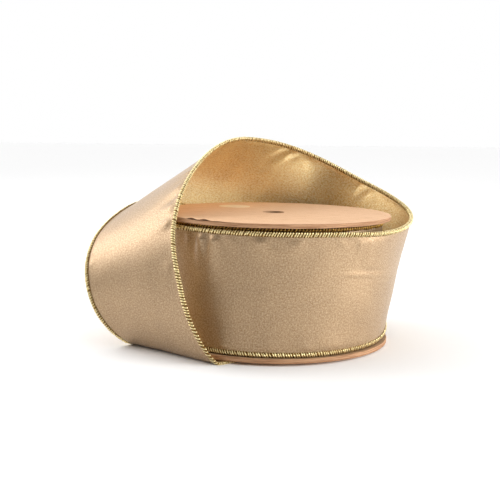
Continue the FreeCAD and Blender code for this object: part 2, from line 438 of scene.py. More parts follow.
@dataclass
class Sizes:
    """Sizes of the object, read from the frame's nodes."""

    flange_radius: float
    arbor_radius: float
    lower_top: float
    upper_base: float
    upper_top: float
    facing: float
    pack_inner: float
    pack_outer: float
    pack_base: float
    pack_top: float

    @property
    def ribbon_width(self) -> float:
        """Width of the ribbon over both wired edges."""
        return self.pack_top - self.pack_base

    @classmethod
    def from_frame(cls) -> Sizes:
        """Read the sizes, in metres."""
        bottom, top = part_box("bottom_flange"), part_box("top_flange")
        bore = [m for m in frame["record"]["mounts"] if m["name"] == "arbor_bore"][0]
        wound = bpy.data.objects["wound_fabric"].data.vertices
        return cls(
            flange_radius=top[1].x,
            arbor_radius=bore["dims"]["r_mm"] * MM,
            lower_top=bottom[1].z,
            upper_base=top[0].z,
            upper_top=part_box("top_facing")[1].z,
            facing=bottom[0].z,
            pack_inner=min(math.hypot(v.co.x, v.co.y) for v in wound),
            pack_outer=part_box("wound_upper_edge")[1].x,
            pack_base=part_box("wound_lower_edge")[0].z,
            pack_top=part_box("wound_upper_edge")[1].z,
        )


@dataclass
class Course:
    """The loose ribbon as a strip between two smooth edge lines, from the pack to the tail's end."""

    sizes: Sizes

    # Angle round the spool in degrees, and lean outwards as a share of the width. The ribbon begins at BEGIN.
    WOUND: ClassVar = [(136, 0.0), (160, 0.0), (184, 0.0), (208, 0.0), (232, 0.0), (256, 0.01), (280, 0.035),
                       (300, 0.07)]
    # Lower point in turn radii and ribbon widths, then the way across to the upper point, in widths.
    LOOSE: ClassVar = [
        ((0.766, -0.642, 0.043), (0.060, -0.126, 0.986)), ((0.963, -0.305, 0.063), (0.110, -0.142, 0.976)),
        ((1.034, 0.104, 0.118), (0.192, -0.157, 0.961)), ((0.963, 0.513, 0.205), (0.283, -0.157, 0.945)),
        ((0.763, 0.850, 0.315), (0.346, -0.110, 0.937)), ((0.465, 1.108, 0.457), (0.409, -0.047, 0.913)),
        ((0.104, 1.244, 0.630), (0.433, -0.024, 0.906)), ((-0.273, 1.268, 0.803), (0.457, -0.189, 0.866)),
        ((-0.642, 1.139, 0.961), (0.520, -0.362, 0.772)), ((-0.963, 0.899, 1.071), (0.598, -0.457, 0.661)),
        ((-1.244, 0.594, 1.110), (0.685, -0.504, 0.528)), ((-1.445, 0.241, 1.024), (0.740, -0.520, 0.441)),
        ((-1.589, -0.113, 0.850), (0.787, -0.496, 0.378)), ((-1.621, -0.385, 0.567), (0.803, -0.488, 0.346)),
        ((-1.517, -0.457, 0.260), (0.764, -0.543, 0.346)), ((-1.372, -0.423, 0.075), (0.701, -0.634, 0.272)),
        ((-1.292, -0.391, 0.012), (0.724, -0.668, 0.130)),
    ]
    # The flat part under the spool, in the same units.
    TAIL: ClassVar = [((-1.224, -0.357), (0.775, -0.654)), ((-1.059, -0.203), (0.745, -0.707)),
                      ((-0.594, 0.137), (0.583, -0.816))]
    BEGIN: ClassVar = 1
    TUCK_LEVEL: ClassVar = -1.0 * MM
    LOOSE_BASE: ClassVar = 2.5 * MM
    TURN_RADIUS: ClassVar = 62.3 * MM

    def __post_init__(self) -> None:
        """Work out both edge lines' points and their places along the ribbon."""
        width, radius = self.sizes.ribbon_width, self.TURN_RADIUS
        scale = np.array([radius, radius, width])
        low, high = [], []
        for angle, lean in self.WOUND:
            outward = np.array([math.cos(math.radians(angle)), math.sin(math.radians(angle)), 0.0])
            point = outward * self.TURN_RADIUS + [0, 0, self.LOOSE_BASE]
            low.append(point)
            high.append(point + (outward * lean + [0, 0, math.sqrt(1 - lean * lean)]) * width)
        for point, across in self.LOOSE:
            low.append(np.array(point) * scale)
            high.append(low[-1] + np.array(across) * width)
        for point, across in self.TAIL:
            low.append(np.array([*point, 0]) * scale + [0, 0, self.TUCK_LEVEL])
            high.append(low[-1] + np.array([*across, 0]) * width)
        self.low, self.high = np.array(low), np.array(high)
        steps = sum(np.linalg.norm(np.diff(line, axis=0), axis=1) for line in (self.low, self.high))
        self.knots = np.concatenate([[0], np.cumsum(steps / 2)])

    @property
    def start(self) -> float:
        """Place where the loose ribbon begins."""
        return self.knots[self.BEGIN]

    @property
    def end(self) -> float:
        """Place of the cut end."""
        return self.knots[-1]

    @property
    def length(self) -> float:
        """Length of the loose ribbon."""
        return self.end - self.start

    @property
    def leaves_pack(self) -> float:
        """Place where the ribbon leaves the pack."""
        return self.knots[len(self.WOUND)]

    @property
    def touches_down(self) -> float:
        """Place where the ribbon lies flat."""
        return self.knots[len(self.knots) - len(self.TAIL)]

    def edge(self, points: Array, at: Array) -> Array:
        """Points of one edge line, kept above the flange on the pack and flat in the tail."""
        line = natural_spline(self.knots, points, at)
        lowest = np.where(at <= self.leaves_pack, self.LOOSE_BASE, self.TUCK_LEVEL)
        line[:, 2] = np.where(at >= self.touches_down, self.TUCK_LEVEL, np.maximum(line[:, 2], lowest))
        return line

    def frames(self, at: Array) -> tuple[Array, Array, Array, Array]:
        """Where the strip is.

        Args:
            at: places along the ribbon.

        Returns:
            Lower points, upper points, unit ways along, and unit normals, which face the inner side.
        """
        at = np.clip(at, self.knots[0], self.end)
        low, high = self.edge(self.low, at), self.edge(self.high, at)
        flat = at >= self.touches_down
        behind = np.maximum(at - 0.5 * MM, np.where(flat, self.touches_down, self.knots[0]))
        ahead = np.minimum(at + 0.5 * MM, np.where(flat, self.end, self.touches_down))
        along = unit(self.edge(self.low, ahead) + self.edge(self.high, ahead)
                     - self.edge(self.low, behind) - self.edge(self.high, behind))
        normal = unit(np.cross(unit(high - low), along))
        return low, high, along, normal


@dataclass
class Spiral:
    """The wound pack: a flat spiral from the core out to where the loose ribbon begins."""

    sizes: Sizes
    turns: float
    end_angle: float
    edge_half: float

    @property
    def first_radius(self) -> float:
        """Radius of the middle of the first layer."""
        return self.sizes.pack_inner + self.edge_half

    @property
    def last_radius(self) -> float:
        """Radius of the middle of the last layer."""
        return self.sizes.pack_outer - self.edge_half

    @property
    def length(self) -> float:
        """Length of wound ribbon."""
        return math.pi * (self.first_radius + self.last_radius) * self.turns

    def frames(self, turn: Array, base: float, top: float) -> tuple:
        """Where the wound strip is.

        Args:
            turn: turns counted from the core.
            base: height of the lower line.
            top: height of the upper line.

        Returns:
            Lower points, upper points, unit ways along, and unit normals, which face the axis.
        """
        angle = self.end_angle + 2 * math.pi * (turn - self.turns)
        radius = self.first_radius + (self.last_radius - self.first_radius) * turn / self.turns
        outward = np.stack([np.cos(angle), np.sin(angle), np.zeros_like(angle)], axis=1)
        along = np.stack([-np.sin(angle), np.cos(angle), np.zeros_like(angle)], axis=1)
        low = outward * radius[:, None] + np.array([0, 0, base])
        high = outward * radius[:, None] + np.array([0, 0, top])
        return low, high, along, -outward


# ---- Cloth and its whipped edges ----


@dataclass
class Gathers:
    """Small wedges where the whipping has drawn the cloth in beside an edge.

    Each has a middle along the edge, a height, a reach in from the edge, a half width and a slant. Most are
    scattered, about one for each spacing. The placed ones are given in mm, and their slant as a share.
    """

    rng: np.random.Generator
    length: float
    spacing: float
    depth: float
    reach: float
    placed: tuple = ()

    # A gather is worked out this far to either side along the edge.
    SPAN: ClassVar = 14 * MM

    def __post_init__(self) -> None:
        """Scatter the gathers along the edge and add the placed ones."""
        count = max(1, int(self.length / self.spacing))
        scattered = [
            np.sort(self.rng.uniform(0, self.length, count)),
            self.rng.uniform(-0.45, 1.0, count) ** 3 * self.depth,
            self.rng.uniform(0.5, 1.6, count) * self.reach,
            self.rng.uniform(0.9, 2.4, count) * MM,
            self.rng.uniform(-0.55, 0.55, count),
        ]
        placed = np.array(self.placed, float).reshape(-1, 5) * (MM, MM, MM, MM, 1)
        self.rows = np.concatenate([np.stack(scattered, axis=1), placed])

    def height(self, along: Array, inward: Array) -> Array:
        """How far the cloth stands out.

        Args:
            along: distance along the edge, one column of the grid.
            inward: distance in from the edge, one row of the grid.

        Returns:
            Heights, one row for each place along.
        """
        total = np.zeros((len(along), len(inward)))
        for middle, size, far, half, slant in self.rows:
            near = np.abs(along - middle) < self.SPAN
            if near.any():
                wide = half * (1 + inward / far)
                offset = along[near][:, None] - middle - slant * inward
                total[near] += size * np.exp(-(offset / wide) ** 2) * np.exp(-(inward / far) ** 1.5)
        return total


@dataclass
class Waves:
    """Slow unevenness of slack cloth: a sum of a few long waves."""

    rng: np.random.Generator
    count: int
    shortest: float
    longest: float

    def __post_init__(self) -> None:
        """Draw the waves."""
        heading = self.rng.uniform(0, math.pi, self.count)
        size = self.rng.uniform(self.shortest, self.longest, self.count)
        self.number = 2 * math.pi / size
        self.way = np.stack([np.cos(heading), np.sin(heading)], axis=1)
        self.phase = self.rng.uniform(0, 2 * math.pi, self.count)
        self.share = size / size.sum()

    def height(self, along: Array, across: Array) -> Array:
        """Heights from about -1 to 1, one row for each place along."""
        total = np.zeros((len(along), len(across)))
        for number, way, phase, share in zip(self.number, self.way, self.phase, self.share):
            place = way[0] * along[:, None] + way[1] * across[None, :]
            total += share * np.sin(number * place + phase)
        return total


@dataclass
class MeshParts:
    """Vertices, faces, materials and UVs that grow block by block."""

    points: list = field(default_factory=list)
    faces: list = field(default_factory=list)
    material_of: list = field(default_factory=list)
    uvs: list = field(default_factory=list)
    count: int = 0

    def block(self, points: Array, faces: Array, material_of: Array | int,
              uvs: Array | None = None) -> None:
        """Add a block of vertices and the faces between them."""
        self.points.append(points)
        self.faces.extend((faces + self.count).tolist())
        numbers = np.broadcast_to(np.asarray(material_of), (len(faces),))
        self.material_of.extend(numbers.tolist())
        self.uvs.append(np.zeros((len(points), 2)) if uvs is None else uvs)
        self.count += len(points)

    def build(self, name: str, materials: list) -> Piece:
        """Make the object of all blocks."""
        return new_object(name, np.concatenate(self.points), self.faces, self.material_of, materials,
                          np.concatenate(self.uvs))


def grid_faces(rows: int, columns: int, closed: bool = False) -> Array:
    """Four-cornered faces of a grid of vertices.

    Args:
        rows: vertices in the first direction.
        columns: vertices in the second direction.
        closed: whether the second direction runs round.

    Returns:
        Vertex numbers, one row for each face.
    """
    first = np.arange(rows - 1)[:, None] * columns
    here = np.arange(columns if closed else columns - 1)[None, :]
    there = (here + 1) % columns
    return np.stack([first + here, first + columns + here, first + columns + there, first + there],
                    axis=2).reshape(-1, 4)


def cloth_block(parts: MeshParts, middle: Array, normals: Array, thickness: float,
                along: Array, across: Array) -> None:
    """Add a thin closed strip: an outer face, an inner face and its four borders.

    Args:
        parts: where the block goes.
        middle: the sheet's middle surface, indexed along and across.
        normals: unit normals that face the inner side, indexed alike.
        thickness: how thick the cloth is.
        along: distance of each row.
        across: distance of each column.
    """
    rows, columns = middle.shape[:2]
    outer = (middle - normals * thickness / 2).reshape(-1, 3)
    inner = (middle + normals * thickness / 2).reshape(-1, 3)
    grid = grid_faces(rows, columns)
    size = rows * columns
    u, v = np.meshgrid(along, across, indexing="ij")
    flat = np.stack([u.ravel(), v.ravel()], axis=1)
    number = np.arange(size).reshape(rows, columns)
    ring = np.concatenate([number[0, :-1], number[:-1, -1], number[-1, :0:-1], number[:0:-1, 0]])
    after = np.roll(ring, -1)
    border = np.stack([ring, after, after + size, ring + size], axis=1)
    faces = np.concatenate([grid, grid[:, ::-1] + size, border])
    kinds = np.concatenate([np.zeros(len(grid), int), np.ones(len(grid), int), np.zeros(len(border), int)])
    parts.block(np.concatenate([outer, inner]), faces, kinds, np.concatenate([flat, flat]))


def tube_blocks(parts: MeshParts, tubes: Array, material: int) -> None:
    """Add tubes with closed ends.

    Args:
        parts: where they go.
        tubes: points, indexed by tube, ring and place round the ring.
        material: the faces' material number.
    """
    count, rings, around = tubes.shape[:3]
    size, base = rings * around, parts.count
    faces = np.arange(count)[:, None, None] * size + grid_faces(rings, around, closed=True)
    parts.block(tubes.reshape(-1, 3), faces.reshape(-1, 4), material)
    for first in range(base, parts.count, size):
        parts.faces.append([first + k for k in range(around)])
        parts.faces.append([first + size - around + k for k in reversed(range(around))])
    parts.material_of.extend([material] * (2 * count))


@dataclass
class EdgeLine:
    """The outermost line of a ribbon edge, with unit ways to the cloth, along it, and out of the inner face.

    The squeeze is the whipping's thickness there, as a share: below 1 between the pack's layers, above 1
    where the edge is free.
    """

    start: Array
    inward: Array
    along: Array
    normal: Array
    squeeze: Array | float

    @classmethod
    def of(cls, strip: tuple, squeeze: Array | float, upper: bool) -> EdgeLine:
        """Take the upper or the lower line of a strip.

        Args:
            strip: lower points, upper points, unit ways along and unit normals.
            squeeze: the thickness's share at each point.
            upper: whether the upper line is taken.

        Returns:
            The line.
        """
        low, high, along, normal = strip
        start, end = (high, low) if upper else (low, high)
        return cls(start, unit(end - start), along, normal, squeeze)


@dataclass
class WhippedEdge:
    """Gold thread whipped over the edge wire: slanted stitches over a padded core.

    The section is given in shares of the edge's width and half thickness, round from the cloth side.
    """

    width: float = 2.7 * MM
    thickness: float = 1.2 * MM
    pitch: float = 1.35 * MM
    thread: float = 0.85 * MM

    CORE: ClassVar = [(0.10, -0.3), (0.30, -0.72), (0.75, -0.72), (0.97, -0.35),
                      (0.97, 0.35), (0.75, 0.72), (0.30, 0.72), (0.10, 0.3)]
    # Line of one stitch's middle round the edge, and its drift along in pitches.
    STITCH: ClassVar = [(0.95, -0.45, -0.45), (0.70, -0.72, -0.25), (0.40, -0.74, 0.0), (0.18, -0.45, 0.25),
                        (0.12, 0.0, 0.40), (0.18, 0.45, 0.50), (0.40, 0.74, 0.45), (0.70, 0.72, 0.25),
                        (0.95, 0.45, 0.0)]
    # Share of the thread's thickness at each of those places, its number of sides, and how flat it is.
    TAPER: ClassVar = [0.55, 0.9, 1, 1, 1, 1, 1, 0.9, 0.55]
    SIDES: ClassVar = 6
    FLATNESS: ClassVar = 0.8
    # How unevenly the stitches lie and how much the thread's thickness differs.
    UNEVEN: ClassVar = 0.10
    UNEVEN_REACH: ClassVar = 0.4
    UNEVEN_THREAD: ClassVar = 0.08

    def core(self, parts: MeshParts, line: EdgeLine) -> None:
        """Add the padded core along a line."""
        half = np.reshape(self.thickness / 2 * line.squeeze, (-1, 1))
        rings = [line.start + line.inward * (a * self.width) + line.normal * (b * half) for a, b in self.CORE]
        tube_blocks(parts, np.stack(rings, axis=1)[None], 1)

    def stitches(self, parts: MeshParts, line: EdgeLine, rng: np.random.Generator) -> None:
        """Add one thread loop at each point of a line.

        Args:
            parts: where they go.
            line: the edge's line, with one point for each stitch.
            rng: for the threads' small differences.
        """
        half = np.reshape(self.thickness / 2 * line.squeeze, (-1, 1, 1))
        count = len(line.start)
        jitter = rng.normal(0, self.UNEVEN, (count, 1, 3))
        local = np.repeat(np.array(self.STITCH)[None], count, axis=0)
        local[:, :, 2] += jitter[:, :, 0]
        reach = jitter[:, :, 1] * self.UNEVEN_REACH * (local[:, :, 0] > 0.6)
        local[:, :, 0] = np.clip(local[:, :, 0] + reach, 0.1, 1.08)
        along = line.along[:, None]
        loops = (line.start[:, None] + line.inward[:, None] * (local[:, :, 0:1] * self.width)
                 + line.normal[:, None] * (local[:, :, 1:2] * half) + along * (local[:, :, 2:3] * self.pitch))
        tangent = unit(np.gradient(loops, axis=1))
        side = unit(np.cross(tangent, along + 0 * tangent))
        other = np.cross(tangent, side)
        fat = self.thread / 2 * (1 + rng.normal(0, self.UNEVEN_THREAD, (count, 1, 1)))
        taper = (np.array(self.TAPER)[None, :, None] * fat)[:, :, None]
        turn = (np.arange(self.SIDES) * 2 * math.pi / self.SIDES)[None, None, :, None]
        tubes = (loops[:, :, None] + side[:, :, None] * (np.cos(turn) * taper * self.FLATNESS)
                 + other[:, :, None] * (np.sin(turn) * taper))
        tube_blocks(parts, tubes, 0)


@dataclass
class Ribbon:
    """A stretch of the ribbon: one sheet of cloth and its two whipped edges."""

    sizes: Sizes
    edge: WhippedEdge
    wardrobe: Wardrobe
    cloth: float = 0.3 * MM
    hidden: float = 0.8 * MM

    NAME: ClassVar[str]
    THREAD: ClassVar[Stuff]
    EDGE_SEED: ClassVar[int]

    @property
    def margin(self) -> float:
        """How far in from the ribbon's edge the cloth ends, inside the whipping."""
        return self.edge.width - self.hidden

    @property
    def cloth_width(self) -> float:
        """Width of the cloth."""
        return self.sizes.ribbon_width - 2 * self.margin

    def edge_strips(self) -> list[tuple]:
        """The strip and the whipping's squeeze, for the core and then for the stitches."""
        raise NotImplementedError

    def finish(self, parts: MeshParts) -> list[Piece]:
        """Make the cloth and whip its edges.

        Args:
            parts: the cloth's mesh.

        Returns:
            The cloth, the upper whipping and the lower whipping.
        """
        faces = [self.wardrobe.get(Stuff.SATIN), self.wardrobe.get(Stuff.LAME)]
        pieces = [parts.build(self.NAME + "_cloth", faces)]
        for label, upper in (("upper", True), ("lower", False)):
            whipping = MeshParts()
            core, stitches = [EdgeLine.of(strip, squeeze, upper) for strip, squeeze in self.edge_strips()]
            self.edge.core(whipping, core)
            self.edge.stitches(whipping, stitches, np.random.default_rng(self.EDGE_SEED + upper))
            threads = [self.wardrobe.get(self.THREAD), self.wardrobe.get(Stuff.UNDERCORD)]
            pieces.append(whipping.build("%s_%s_whipping" % (self.NAME, label), threads))
        return pieces


@dataclass
class LooseRibbon(Ribbon):
    """The turn that has come off the pack."""

    NAME: ClassVar = "loose"
    THREAD: ClassVar = Stuff.THREAD
    EDGE_SEED: ClassVar = SEED + 2
    STEP_ALONG: ClassVar = 0.7 * MM
    STEP_ACROSS: ClassVar = 0.9 * MM
    CORE_STEP: ClassVar = 2.0 * MM
    # Room for the relief inwards and outwards, and where the ribbon lies on the pack or the floor.
    ROOM_IN: ClassVar = 1.6 * MM
    ROOM_OUT: ClassVar = 2.1 * MM
    ROOM_HELD: ClassVar = 0.25 * MM
    # Heights of the slow and the fine waves.
    SLOW: ClassVar = 0.9 * MM
    FINE: ClassVar = 0.12 * MM
    # How far the creases wander across, over what length, and their half width.
    CREASE_WANDER: ClassVar = 1.5 * MM
    CREASE_WAVE: ClassVar = 11 * MM
    CREASE_HALF: ClassVar = 1.1 * MM
    # The sheet's first end is pressed in by this much, over this length. The cut end is frayed by as much.
    SETTLE: ClassVar = 0.5 * MM
    SETTLE_LENGTH: ClassVar = 22 * MM
    FRAY: ClassVar = 0.5 * MM
    # How much plumper the whipping is where nothing presses it.
    PLUMPER: ClassVar = 0.8
    # The deepest gathers at the upper edge, in mm and shares: middle, height, reach, half width, slant.
    UPPER_GATHERS: ClassVar = (
        (66, -1.0, 12, 2.4, 0.0), (73, -1.4, 10, 2.2, 0.1), (79, 3.0, 12, 2.0, -0.05),
        (83, -1.2, 9, 1.5, 0.1), (87, 3.2, 15, 2.3, -0.1), (93, -0.8, 8, 2.2, 0.1), (111, 1.3, 8, 2.2, 0.3),
        (117, -0.5, 7, 2.0, 0.0), (131, 1.1, 8, 2.6, -0.3), (345, -1.4, 9, 2.0, 0.5),
        (350, 1.3, 8, 1.7, 0.3), (356, -1.3, 10, 2.3, 0.6), (338, 0.8, 7, 2.0, -0.4),
        (300, 0.4, 6, 2.4, 0.4), (293, -0.5, 6, 2.1, 0.3), (470, 0.9, 10, 3.0, 0.5), (478, -0.8, 9, 2.6, 0.4))
    # Faint creases along the ribbon, in mm: height up the ribbon, middle along it, depth, span.
    CREASES: ClassVar = ((40, 160, 0.2, 14), (43, 178, -0.2, 12), (36, 190, 0.2, 14))

    def __post_init__(self) -> None:
        """Lay out the course."""
        self.course = Course(self.sizes)

    def room(self, at: Array) -> tuple[Array, Array]:
        """How far the cloth may move inwards and outwards at each place along."""
        near = 1 - smooth_step(at, self.course.leaves_pack - 20 * MM, self.course.leaves_pack + 60 * MM)
        under = smooth_step(at, self.course.touches_down - 25 * MM, self.course.touches_down)
        inward = self.ROOM_IN * (1 - near) * (1 - under) + self.ROOM_HELD
        outward = self.ROOM_OUT * (1 - under) + self.ROOM_HELD * under
        return inward, outward

    def relief(self, at: Array, across: Array) -> Array:
        """Puckers, waves and creases of the cloth, as heights towards the outer side.

        Args:
            at: places along the ribbon.
            across: places across it.

        Returns:
            Heights, one row for each place along.
        """
        rng = np.random.default_rng(SEED)
        along = at - at[0]
        from_low, from_high = across - across[0], across[-1] - across
        lower = Gathers(rng, along[-1], spacing=5.0 * MM, depth=1.1 * MM, reach=5.0 * MM)
        upper = Gathers(rng, along[-1], spacing=5.5 * MM, depth=1.1 * MM, reach=6.5 * MM,
                        placed=self.UPPER_GATHERS)
        slow = Waves(rng, 9, 26 * MM, 90 * MM)
        fine = Waves(rng, 16, 7 * MM, 20 * MM)
        fade = smooth_step(from_low, 0, 3 * MM) * smooth_step(from_high, 0, 3 * MM)
        held = smooth_step(from_low, 0.5 * MM, 3 * MM) * smooth_step(from_high, 0.5 * MM, 4.5 * MM)
        total = (lower.height(along, from_low) + upper.height(along, from_high)) * held
        total += slow.height(along, across) * self.SLOW * fade + fine.height(along, across) * self.FINE * fade
        for height, middle, depth, span in self.CREASES:
            line = height * MM + self.CREASE_WANDER * np.sin(along / self.CREASE_WAVE)
            crease = np.exp(-((across[None] - line[:, None]) / self.CREASE_HALF) ** 2)
            total += crease * (depth * MM * np.exp(-((along - middle * MM) / (span * MM)) ** 2))[:, None]
        low, high = [room[:, None] for room in self.room(at)]
        return np.where(total > 0, high * np.tanh(total / high), low * np.tanh(total / low))

    def build(self) -> list[Piece]:
        """Build the cloth and both edges."""
        course, width = self.course, self.sizes.ribbon_width
        at = np.linspace(course.start, course.end, int(course.length / self.STEP_ALONG) + 1)
        low, high, along, normal = course.frames(at)
        across = np.linspace(self.margin, width - self.margin, int(self.cloth_width / self.STEP_ACROSS) + 1)
        surface = low[:, None] + (high - low)[:, None] * (across / width)[None, :, None]
        settle = self.SETTLE * (1 - smooth_step(at, course.start, course.start + self.SETTLE_LENGTH))
        surface = surface - normal[:, None] * (self.relief(at, across) - settle[:, None])[:, :, None]
        fray = np.random.default_rng(SEED + 1).uniform(-1, 1, len(across))
        surface[-1] += along[-1] * (fray * self.FRAY)[:, None]
        parts = MeshParts()
        cloth_block(parts, surface, np.repeat(normal[:, None], len(across), axis=1), self.cloth,
                    at - course.start, across)
        return self.finish(parts)

    def plumpness(self, at: Array) -> Array:
        """The whipping's thickness, as a share of its thickness where it is pressed flat."""
        free = smooth_step(at, self.course.leaves_pack - 10 * MM, self.course.leaves_pack + 40 * MM)
        down = smooth_step(at, self.course.touches_down - 40 * MM, self.course.touches_down - 10 * MM)
        return 1 + self.PLUMPER * free * (1 - down)

    def edge_strips(self) -> list[tuple]:
        """The strip and the whipping's squeeze, for the core and then for the stitches."""
        course, strips = self.course, []
        for step, margin in ((self.CORE_STEP, 0), (self.edge.pitch, self.edge.pitch)):
            at = np.linspace(course.start + margin, course.end - margin, int(course.length / step))
            strips.append((course.frames(at), self.plumpness(at)))
        return strips

    def dress(self, pieces: list[Piece]) -> None:
        stretches = ("outer_turn", "rising", "lobe", "tail")
        for piece in pieces:
            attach(piece, "loose_ribbon")
        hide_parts(*[s + "_fabric" for s in stretches])
        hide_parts(*[s + "_upper_edge" for s in stretches])
        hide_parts(*[s + "_lower_edge" for s in stretches])


@dataclass
class WoundRibbon(Ribbon):
    """The ribbon still on the core, in a flat spiral.

    The stitches are real on the last turns, and further in the edge is a plain bead.
    """

    turns: float = 30.0
    end_angle: float = math.radians(166.0)
    stitched_turns: float = 2.2
    detailed_turns: float = 1.2

    NAME: ClassVar = "wound"
    # The pack's stitches use the gold thread painted in shade.
    THREAD: ClassVar = Stuff.SHADED_THREAD
    EDGE_SEED: ClassVar = SEED + 8
    # Half of a layer's pitch, the whipping's share of its free thickness, and where the last stitch ends.
    EDGE_HALF: ClassVar = 0.5 * MM
    SQUEEZE: ClassVar = 0.82
    SHORT_OF_END: ClassVar = 0.003
    # Distances between rows inside the pack and on the turns in sight, and vertices across.
    INNER_GRID: ClassVar = (3.0 * MM, 4)
    OUTER_GRID: ClassVar = (1.2 * MM, 48)
    # How far the outer turns' cloth may move inwards and outwards.
    ROOM: ClassVar = (-0.25 * MM, 0.4 * MM)

    def __post_init__(self) -> None:
        """Lay out the spiral."""
        self.spiral = Spiral(self.sizes, self.turns, self.end_angle, self.EDGE_HALF)

    def stretch(self, first: float, last: float) -> float:
        """Length of the ribbon between two turns."""
        return self.spiral.length * (last - first) / self.turns

    def cloth_strip(self, parts: MeshParts, first: float, last: float, grid: tuple, puckered: bool) -> None:
        """Add a stretch of the wound cloth.

        Args:
            parts: where it goes.
            first: turn where it begins.
            last: turn where it ends.
            grid: distance between rows, and vertices across.
            puckered: whether the whipping has gathered the cloth.
        """
        step, columns = grid
        length = self.stretch(first, last)
        turn = np.linspace(first, last, max(3, int(length / step)))
        base, top = self.sizes.pack_base + self.margin, self.sizes.pack_top - self.margin
        low, high, _, normal = self.spiral.frames(turn, base, top)
        across = np.linspace(0, top - base, columns)
        surface = low[:, None] + (high - low)[:, None] * (across / (top - base))[None, :, None]
        along = turn / self.turns * self.spiral.length
        if puckered:
            rng = np.random.default_rng(SEED + 5)
            edges = [Gathers(rng, length, spacing=6 * MM, depth=0.4 * MM, reach=5 * MM) for _ in range(2)]
            lower, upper = [g.height(along - along[0], way) for g, way in zip(edges, (across, across[::-1]))]
            heights = lower + upper
            surface = surface - normal[:, None] * np.clip(heights, *self.ROOM)[:, :, None]
        cloth_block(parts, surface, np.repeat(normal[:, None], columns, axis=1), self.cloth, along, across)

    def build(self) -> list[Piece]:
        """Build the cloth and both edges."""
        parts = MeshParts()
        seam = self.turns - self.detailed_turns
        self.cloth_strip(parts, 0, seam, self.INNER_GRID, False)
        self.cloth_strip(parts, seam, self.turns, self.OUTER_GRID, True)
        return self.finish(parts)

    def edge_strips(self) -> list[tuple]:
        """The strip and the whipping's squeeze, for the core and then for the stitches."""
        strips = []
        for first, last, step in (
                (0, self.turns, self.INNER_GRID[0]),
                (self.turns - self.stitched_turns, self.turns - self.SHORT_OF_END, self.edge.pitch)):
            turn = np.linspace(first, last, int(self.stretch(first, last) / step))
            strip = self.spiral.frames(turn, self.sizes.pack_base, self.sizes.pack_top)
            strips.append((strip, self.SQUEEZE))
        return strips

    def dress(self, pieces: list[Piece]) -> None:
        for piece, node in zip(pieces, ("wound_fabric", "wound_upper_edge", "wound_lower_edge")):
            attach(piece, "spool")
            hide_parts(node)


# ---- The card spool ----


